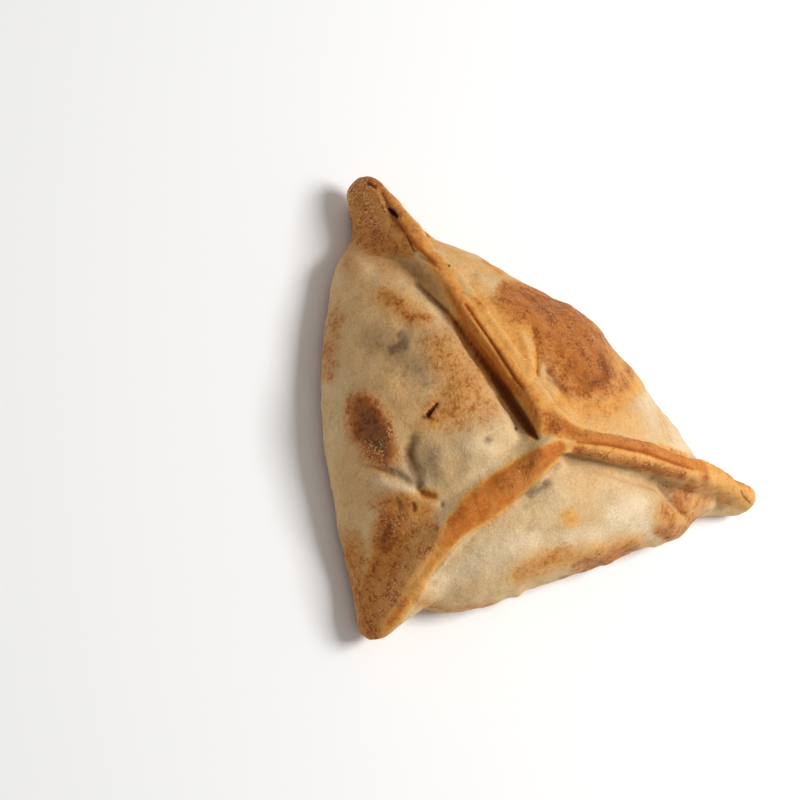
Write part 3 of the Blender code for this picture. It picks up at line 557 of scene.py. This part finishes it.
# ---- views of the dough ---------------------------------------------------------------------
class View:
    """A place to look from: strokes are drawn in its picture, and its axes carry the light."""

    def __init__(self, azimuth, elevation, roll, distance, target):
        azimuth, elevation, roll = map(math.radians, (azimuth, elevation, roll))
        self.back = Vector((math.sin(azimuth) * math.cos(elevation),
                            -math.cos(azimuth) * math.cos(elevation), math.sin(elevation)))
        level = Vector((math.cos(azimuth), math.sin(azimuth), 0.0))
        upright = self.back.cross(level)
        self.right = level * math.cos(roll) + upright * math.sin(roll)
        self.up = upright * math.cos(roll) - level * math.sin(roll)
        self.eye = (Vector(target) + self.back * distance) * MM

    def pixels(self, points):
        """Where points show in the picture: x, y."""
        offset = points - np.array(self.eye)
        across, upward, away = (offset @ np.array(axis)
                                for axis in (self.right, self.up, -self.back))
        scale = SCALE / away
        return PICTURE / 2 + across * scale, PICTURE / 2 - upward * scale

    def hidden(self, points, tree):
        """How far each point lies behind the skin that the view shows, in mm."""
        behind = np.zeros(len(points), dtype=np.float32)
        for number, point in enumerate(points):
            way = Vector(point) - self.eye
            distance = way.length
            found = tree.ray_cast(self.eye, way / distance)[3]
            if found is not None:
                behind[number] = max(0.0, distance - found) / MM
        return behind

    def way(self, x, y):
        """The way from the eye through a pixel."""
        return self.direction((x - PICTURE / 2) / SCALE, (PICTURE / 2 - y) / SCALE, -1.0)

    def direction(self, right, up, back):
        """The way that goes so far along the view's own axes."""
        return (self.right * right + self.up * up + self.back * back).normalized()


CAMERA = View(CAMERA_AZIMUTH, CAMERA_ELEVATION, CAMERA_ROLL, CAMERA_DISTANCE, CAMERA_TARGET)
BEHIND = View(BEHIND_AZIMUTH, BEHIND_ELEVATION, 0.0, CAMERA_DISTANCE, BEHIND_TARGET)
VIEWS = (CAMERA, BEHIND)


# ---- the dough's shape ----------------------------------------------------------------------
def select_only(piece):
    """Selects a piece alone, as the operators act on all that is selected."""
    bpy.ops.object.select_all(action="DESELECT")
    piece.select_set(True)
    bpy.context.view_layer.objects.active = piece


def apply_modifier(piece, kind, **settings):
    """Adds a modifier with these settings and applies it."""
    select_only(piece)
    modifier = piece.modifiers.new(kind.title(), kind)
    for name, value in settings.items():
        setattr(modifier, name, value)
    bpy.ops.object.modifier_apply(modifier=modifier.name)


def copy_of(node, name):
    """A copy of a CAD node with its own mesh, its loose triangles sewn together."""
    select_only(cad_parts[node])
    bpy.ops.object.duplicate()
    piece = bpy.context.object
    piece.name = piece.data.name = name
    bpy.ops.object.mode_set(mode="EDIT")
    bpy.ops.mesh.select_all(action="SELECT")
    bpy.ops.mesh.remove_doubles(threshold=SEWN * MM)
    bpy.ops.object.mode_set(mode="OBJECT")
    return piece


def refine(dough):
    """Gives the dough a fine even skin without the solid's flat facets."""
    apply_modifier(dough, "SUBSURF", levels=ROUNDING, render_levels=ROUNDING)
    apply_modifier(dough, "REMESH", mode="VOXEL", voxel_size=SKIN * MM)
    apply_modifier(dough, "SMOOTH", factor=EVENING, iterations=SMOOTHING)


def ease_edges(dough):
    """Smooths the solid's own edges away where the strokes say."""
    weigh(dough, "eased", Skin(dough, CAMERA).layer(EASED))
    apply_modifier(dough, "SMOOTH", factor=EVENING, iterations=EASING, vertex_group="eased")
    dough.vertex_groups.clear()


def split_fine(dough):
    """Gives the skin more points under the finest strokes."""
    fine = [Stroke(1.0, stroke.stops, soft=FINE_EDGE) for stroke in RELIEF
            if stroke.stops[0][2] <= FINE_STROKE]
    wanted = Skin(dough, CAMERA).layer(fine)
    for parts in (dough.data.polygons, dough.data.edges):
        parts.foreach_set("select", np.zeros(len(parts), dtype=bool))
    dough.data.vertices.foreach_set("select", wanted > 0)
    select_only(dough)
    bpy.ops.object.mode_set(mode="EDIT")
    bpy.ops.mesh.select_mode(type="VERT")
    bpy.ops.mesh.subdivide(number_cuts=1)
    bpy.ops.object.mode_set(mode="OBJECT")


class Skin:
    """The dough's skin as one view shows it."""

    def __init__(self, dough, view):
        self.view = view
        self.points = np.empty((len(dough.data.vertices), 3), dtype=np.float32)
        dough.data.vertices.foreach_get("co", self.points.ravel())
        self.tree = BVHTree.FromObject(dough, bpy.context.evaluated_depsgraph_get())
        self.pixels = np.stack(view.pixels(self.points), axis=1)
        self.behind = view.hidden(self.points, self.tree)

    def reach(self, stroke):
        """How strongly a stroke is felt at each point of the dough, from 0 to 1."""
        if stroke.wraps:
            stops = [(*self.spot(x, y), radius * PIXEL * MM) for x, y, radius in stroke.stops]
            return fade_out(shares(self.points, stops), 1 - stroke.soft)
        shown = fade_out(self.behind / stroke.depth, FULL_DEPTH)
        return fade_out(shares(self.pixels, stroke.stops), 1 - stroke.soft) * shown

    def spot(self, x, y):
        """The place on the skin that shows at a pixel."""
        return self.tree.ray_cast(self.view.eye, self.view.way(x, y))[0]

    def layer(self, strokes):
        """What several strokes give together, the stronger one counting where two overlap."""
        total = np.zeros(len(self.points))
        for stroke in strokes:
            total = np.maximum(total, stroke.amount * self.reach(stroke))
        return total


def shares(places, stops):
    """How far each place lies from the line through the stops, as a share of its radius."""
    away = np.full(len(places), np.inf)
    stops = np.array(stops if len(stops) > 1 else stops * 2)
    for (*start, radius), (*end, next_radius) in zip(stops, stops[1:]):
        run = np.subtract(end, start)
        part = np.clip((places - start) @ run / max(run @ run, DOT), 0, 1)
        gap = np.linalg.norm(places - start - part[:, None] * run, axis=1)
        away = np.minimum(away, gap / (radius + (next_radius - radius) * part))
    return away


def fade_out(away, level):
    """1 up to the level, then smoothly down to 0 at 1."""
    part = np.clip((1 - away) / (1 - level), 0, 1)
    return part * part * (3 - 2 * part)


def weigh(dough, name, values):
    """Keeps a value from 0 to 1 for each point as a vertex group."""
    group = dough.vertex_groups.new(name=name)
    steps = np.round(np.clip(values, 0, 1) * WEIGHT_STEPS).astype(int)
    for step in np.unique(steps[steps > 0]):
        group.add(np.flatnonzero(steps == step).tolist(), float(step) / WEIGHT_STEPS, "REPLACE")


def displace(dough, name, values, height, **settings):
    """Moves the points along their normals by a height in mm, as far as the values say."""
    weigh(dough, name, values)
    apply_modifier(dough, "DISPLACE", vertex_group=name, strength=height * MM, **settings)
    dough.vertex_groups.remove(dough.vertex_groups[name])


def roughen(dough, name, size, height, values):
    """Raises an uneven grain on the dough: its size and height are in mm."""
    texture = bpy.data.textures.new(name, "CLOUDS")
    texture.noise_scale = size * MM
    texture.noise_depth = GRAIN_OCTAVES
    displace(dough, name, values, height, texture=texture, texture_coords="LOCAL", mid_level=0.5)


def above_base(points):
    """1 on the dough's upper skin and 0 on its flat underside."""
    return np.clip((points[:, 2] / MM - BASE_SKIN) / BASE_BLEND, 0, 1)


def even_out(dough, values, rounds):
    """Blends each point's value with those of its neighbours."""
    ends = np.empty(len(dough.data.edges) * 2, dtype=np.int32)
    dough.data.edges.foreach_get("vertices", ends)
    ends = np.concatenate((ends.reshape(-1, 2), ends.reshape(-1, 2)[:, ::-1]))
    count = np.bincount(ends[:, 0], minlength=len(values))
    for _ in range(rounds):
        near = np.bincount(ends[:, 0], weights=values[ends[:, 1]], minlength=len(values)) / count
        values = (values + near) / 2
    return values


def shape(dough):
    """Presses and raises the dough along its strokes, and then roughens it."""
    skins = [Skin(dough, view) for view in VIEWS]
    relief = np.zeros(len(skins[0].points))
    for skin, strokes in zip(skins, (RELIEF, RELIEF_BEHIND)):
        for stroke in strokes:
            relief += stroke.amount * skin.reach(stroke)
    upper = above_base(skins[0].points)
    baked = skins[0].layer(BAKED)
    relief = even_out(dough, relief * upper, 1)
    for name, height in (("pressed", relief.min()), ("raised", relief.max())):
        displace(dough, name, relief / height, height, mid_level=0.0)
    apply_modifier(dough, "SMOOTH", factor=SOFTENING, iterations=1)
    for swell in SWELLS:
        roughen(dough, *swell, upper)
    shown = PALE_GRAIN + (1 - PALE_GRAIN) * np.clip(baked, 0, 1)
    roughen(dough, *FINEST_GRAIN, upper * shown)


def paint(dough):
    """Keeps each layer of the bake as a number at every point of the dough."""
    skins = [Skin(dough, view) for view in VIEWS]
    points = skins[0].points
    rim = RIM_BAKE * fade_out(points[:, 2] / MM / RIM_HEIGHT, RIM_SOLID)
    browned = UNDERSIDE_BAKE * (1 - above_base(points)) + rim
    for name, (seen, unseen, rounds) in LAYERS.items():
        values = np.maximum(skins[0].layer(seen), skins[1].layer(unseen))
        if name == "baked":
            values = np.maximum(values, browned)
        layer = dough.data.attributes.new(name, "FLOAT", "POINT")
        layer.data.foreach_set("value", even_out(dough, values, rounds).astype(np.float32))


# ---- the crust's finish ---------------------------------------------------------------------
def tone(red, green, blue):
    """A colour given as a screen shows it, 0 to 255, as the renderer takes it: the sRGB curve."""
    linear = [((c / 255 + 0.055) / 1.055) ** 2.4 if c > 10 else c / 255 / 12.92
              for c in (red, green, blue)]
    return (*linear, 1.0)


CREAM, PALE, CHALK = tone(206, 170, 120), tone(216, 186, 140), tone(234, 210, 174)
YELLOW, ORANGE, AMBER = tone(222, 162, 82), tone(192, 108, 38), tone(148, 74, 14)
TAN, BROWN, UMBER = tone(190, 120, 54), tone(158, 84, 24), tone(100, 58, 22)
# The grey, char and soot tones also lay painted shade in creases, clefts and holes.
GREY, CHAR_AND_SHADE, SOOT_AND_SHADE = tone(124, 98, 74), tone(116, 56, 16), tone(62, 24, 4)
FLOUR = tone(226, 170, 114)

# The crust's noise: the sizes in mm of its blotches, patches, speckles and grains, and how far
# each of them frays the edges of the bake.
NOISE_SIZES = (9.0, 2.6, 0.85, 0.42)
FRAYED = (0.2, 0.26, 0.2, 0.12)
NOISE_DETAIL, NOISE_ROUGHNESS = 3.0, 0.6
NOISE_RANGE = (0.33, 0.67)               # the values that most of the plain noise lies between

# How far the noise frays each layer of the bake, and the layer's values between which that sets
# in. The further the dough is baked, the less it frays.
RAW_AND_HIGHLIT_FRAYED = 0.3
GOLDEN_FRAYED, GOLDEN_FRAYS = 0.35, (0.0, 0.5)
BAKED_FRAYED, BAKED_STEADY, BAKED_FRAYS = 1.3, 0.7, (0.08, 0.62)
BROWNED = (0.1, 0.5)                     # the bake where dough starts to be browned, and is

# The colours that a layer lays over the crust: where each begins and is full, how far it covers
# what is below it, and the colour.
CHALKY = ((0.1, 0.9, 1.0, CHALK),)
GILDED = ((0.05, 0.45, 1.0, YELLOW), (0.35, 0.75, 1.0, ORANGE), (0.7, 1.1, 1.0, AMBER))
TOASTED = ((0.05, 0.45, 0.8, TAN), (0.3, 0.75, 0.9, BROWN), (0.65, 1.2, 1.0, UMBER))
GREYED = ((0.05, 0.9, 0.85, GREY),)
CHARRED_AND_SHADED = ((0.04, 0.55, 0.9, CHAR_AND_SHADE), (0.45, 1.0, 1.0, SOOT_AND_SHADE))

# Dark freckles and light grains: where they begin and are full, how far they cover pale dough,
# how much further they cover browned dough, and the colour that they multiply by.
FRECKLES = (0.25, 0.85, 0.34, 0.45, (0.66, 0.54, 0.42, 1.0))
GLINTS = (0.45, 1.0, 0.5, 0.45, (1.3, 1.32, 1.32, 1.0))

# The flour: the size of its crumbs, how far the grain frays them and where they end, how much
# of its drifts follows the patches, where those begin and are full, and how far it covers.
CRUMB_SIZE = 0.6                         # mm
CRUMB_FRAYED, CRUMB_EDGE = 0.5, (0.12, 0.58)
PATCHY_DRIFTS, DRIFT_EDGE = 0.6, (0.15, 0.65)
FLOUR_COVER = 0.9

# The crust's surface.
ROUGHNESS = 0.66
GOLDEN_SHEEN = 0.06                      # taken off the roughness where it is golden
UNEVEN_SHEEN = 0.08                      # between the dullest and the shiniest patches
GLOSS = 0.16
PORES = (0.4, 0.6, 0.35)                 # height of its patches, speckles and grains
PALE_PORES = 0.5                         # share of that height on pale dough
PORE_STRENGTH, PORE_HEIGHT = 0.6, 0.25   # the height is in mm


class Wire:
    """A socket that sums are written with: each sum adds its Math node."""

    def __init__(self, finish, socket):
        self.finish, self.socket = finish, socket

    def calculate(self, operation, first, second):
        return self.finish.add("Math", {"operation": operation}, {0: first, 1: second})

    def __add__(self, other):
        return self.calculate("ADD", self, other)

    def __radd__(self, other):
        return self.calculate("ADD", other, self)

    def __sub__(self, other):
        return self.calculate("SUBTRACT", self, other)

    def __rsub__(self, other):
        return self.calculate("SUBTRACT", other, self)

    def __mul__(self, other):
        return self.calculate("MULTIPLY", self, other)

    def __rmul__(self, other):
        return self.calculate("MULTIPLY", other, self)


class Finish:
    """A material that is built up node by node."""

    def __init__(self, name):
        self.material = bpy.data.materials.new(name)
        self.material.use_nodes = True
        self.tree = self.material.node_tree
        self.shader = self.tree.nodes["Principled BSDF"]
        self.place = self.add("TexCoord", output="Object")

    def add(self, kind, settings=None, inputs=None, output=0):
        """Adds a node: its settings first, then the values or wires of its sockets."""
        node = self.tree.nodes.new("ShaderNode" + kind)
        for name, value in (settings or {}).items():
            setattr(node, name, value)
        for name, value in (inputs or {}).items():
            self.plug(node.inputs[name], value)
        return Wire(self, node.outputs[output])

    def plug(self, socket, value):
        """Links a wire to a socket, or sets a plain value on it."""
        if isinstance(value, Wire):
            self.tree.links.new(value.socket, socket)
        else:
            socket.default_value = value

    def cloud(self, size):
        """Cloudy noise, stretched to run from 0 to 1, with lumps of about this many mm."""
        noise = self.add("TexNoise", inputs={"Vector": self.place, "Scale": 1 / (size * MM),
                                             "Detail": NOISE_DETAIL, "Roughness": NOISE_ROUGHNESS})
        return self.fade(noise, *NOISE_RANGE)

    def cells(self, size):
        """How far each place is from the middle of its cell, in cells of about this many mm."""
        return self.add("TexVoronoi", inputs={"Vector": self.place, "Scale": 1 / (size * MM)},
                        output="Distance")

    def fade(self, value, low, high, most=1.0):
        """0 below the low value and the most above the high one, smooth between them."""
        return self.add("MapRange", {"interpolation_type": "SMOOTHSTEP"},
                        {"Value": value, "From Min": low, "From Max": high, "To Max": most})

    def mix(self, factor, first, second, blend="MIX"):
        """Two colours mixed: the sockets with an index are the colour ones."""
        return self.add("Mix", {"data_type": "RGBA", "blend_type": blend},
                        {0: factor, 6: first, 7: second}, output=2)

    def layer(self, name):
        """A layer of the bake, as it is painted on the dough."""
        return self.add("Attribute", {"attribute_name": name}, output="Fac")

    def stain(self, colour, layer, stains):
        """Lays each stain over a colour in turn, as far as the layer brings it out."""
        for begin, full, cover, over in stains:
            colour = self.mix(self.fade(layer, begin, full, cover), colour, over)
        return colour

    def fleck(self, colour, noise, browned, flecks):
        """Multiplies a colour by another one in flecks, more of them on browned dough."""
        begin, full, cover, further, times = flecks
        where = self.fade(noise, begin, full) * (cover + browned * further)
        return self.mix(where, colour, times, "MULTIPLY")


def crust_finish():
    """The baked crust, from chalky cream to soot as its painted layers say, painted shade and
    highlights included.
    """
    finish = Finish("baked_crust")
    noises = [finish.cloud(size) for size in NOISE_SIZES]
    blotch, patch, speckle, grain = noises
    frayed = sum((noise - 0.5) * share for noise, share in zip(noises, FRAYED))
    raw_and_highlit, golden, baked, filling_and_shade = map(finish.layer, ("raw_and_highlit", "golden", "baked", "filling_and_shade"))
    golden = golden + frayed * GOLDEN_FRAYED * finish.fade(golden, *GOLDEN_FRAYS)
    calmer = BAKED_FRAYED - BAKED_STEADY * baked
    baked = baked + frayed * finish.fade(baked, *BAKED_FRAYS) * calmer
    browned = finish.fade(baked, *BROWNED)
    colour = finish.mix(blotch, CREAM, PALE)
    # chalky pale dough, and painted highlights on a few ridges
    colour = finish.stain(colour, raw_and_highlit + frayed * RAW_AND_HIGHLIT_FRAYED, CHALKY)
    colour = finish.stain(colour, golden, GILDED)
    colour = finish.stain(colour, baked, TOASTED)
    # the grey of the filling, and painted shade in creases and under the lower lip
    colour = finish.stain(colour, filling_and_shade + frayed * filling_and_shade, GREYED)
    colour = finish.fleck(colour, speckle * patch, browned, FRECKLES)
    colour = finish.fleck(colour, grain, browned, GLINTS)
    colour = finish.mix(flour(finish, patch, speckle, grain), colour, FLOUR)
    # cracks and dark marks, and painted shade in the clefts, creases and holes
    colour = finish.stain(colour, finish.layer("scorch_and_shade"), CHARRED_AND_SHADED)
    dull = ROUGHNESS - GOLDEN_SHEEN * golden + UNEVEN_SHEEN * (patch - 0.5)
    pores = sum(noise * height for noise, height in zip((patch, speckle, grain), PORES))
    pores = pores * (PALE_PORES + browned * (1 - PALE_PORES))
    bump = finish.add("Bump", inputs={"Strength": PORE_STRENGTH, "Distance": PORE_HEIGHT * MM,
                                      "Height": pores}, output="Normal")
    finish.shader.inputs["Specular IOR Level"].default_value = GLOSS
    for socket, value in (("Base Color", colour), ("Roughness", dull), ("Normal", bump)):
        finish.plug(finish.shader.inputs[socket], value)
    return finish.material


def flour(finish, patch, speckle, grain):
    """How far flour covers each place: ragged crumbs that lie in drifts."""
    crumbs = finish.cells(CRUMB_SIZE) + (grain - 0.5) * CRUMB_FRAYED
    drifts = patch * PATCHY_DRIFTS + speckle * (1 - PATCHY_DRIFTS)
    dust = (1.0 - finish.fade(crumbs, *CRUMB_EDGE)) * finish.fade(drifts, *DRIFT_EDGE)
    return dust * finish.layer("floured") * FLOUR_COVER


def make_dough():
    dough = copy_of("fatayer", "dough")
    refine(dough)
    ease_edges(dough)
    split_fine(dough)
    shape(dough)
    paint(dough)
    select_only(dough)
    bpy.ops.object.shade_smooth()
    dough.data.materials.clear()
    dough.data.materials.append(crust_finish())
    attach(dough, "root")
    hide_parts("fatayer")


# ---- the floor, the light and the camera ----------------------------------------------------
def lay_floor():
    bpy.ops.object.select_all(action="DESELECT")
    bpy.ops.mesh.primitive_plane_add(size=FLOOR_SIZE * MM)
    floor = bpy.context.object
    floor.name = "floor"
    pale = Finish("pale_floor")
    pale.shader.inputs["Base Color"].default_value = (*FLOOR_COLOUR, 1.0)
    pale.shader.inputs["Roughness"].default_value = FLOOR_ROUGHNESS
    floor.data.materials.append(pale.material)


def light_scene():
    """One square soft light, and a dim even sky."""
    way = CAMERA.direction(*KEY_FROM)
    bpy.ops.object.light_add(type="AREA", location=way * KEY_DISTANCE * MM)
    key = bpy.context.object
    key.name = "key"
    key.rotation_euler = way.to_track_quat("Z", "Y").to_euler()
    key.data.energy = KEY_POWER
    key.data.size = KEY_SIZE * MM
    world = bpy.data.worlds.new("sky")
    world.use_nodes = True
    sky = world.node_tree.nodes["Background"]
    sky.inputs["Color"].default_value = (*SKY, 1.0)
    sky.inputs["Strength"].default_value = SKY_STRENGTH
    bpy.context.scene.world = world


def place_camera():
    bpy.ops.object.camera_add()
    camera = bpy.context.object
    camera.name = "camera"
    camera.data.lens = LENS
    camera.data.sensor_width = SENSOR
    camera.data.clip_start = CAMERA_NEAREST * MM
    camera.matrix_world = (Matrix.Translation(CAMERA.eye)
                           @ Matrix((CAMERA.right, CAMERA.up, CAMERA.back)).transposed().to_4x4())
    bpy.context.scene.camera = camera


make_dough()
lay_floor()
light_scene()
place_camera()
bpy.context.scene.view_settings.view_transform = "Standard"
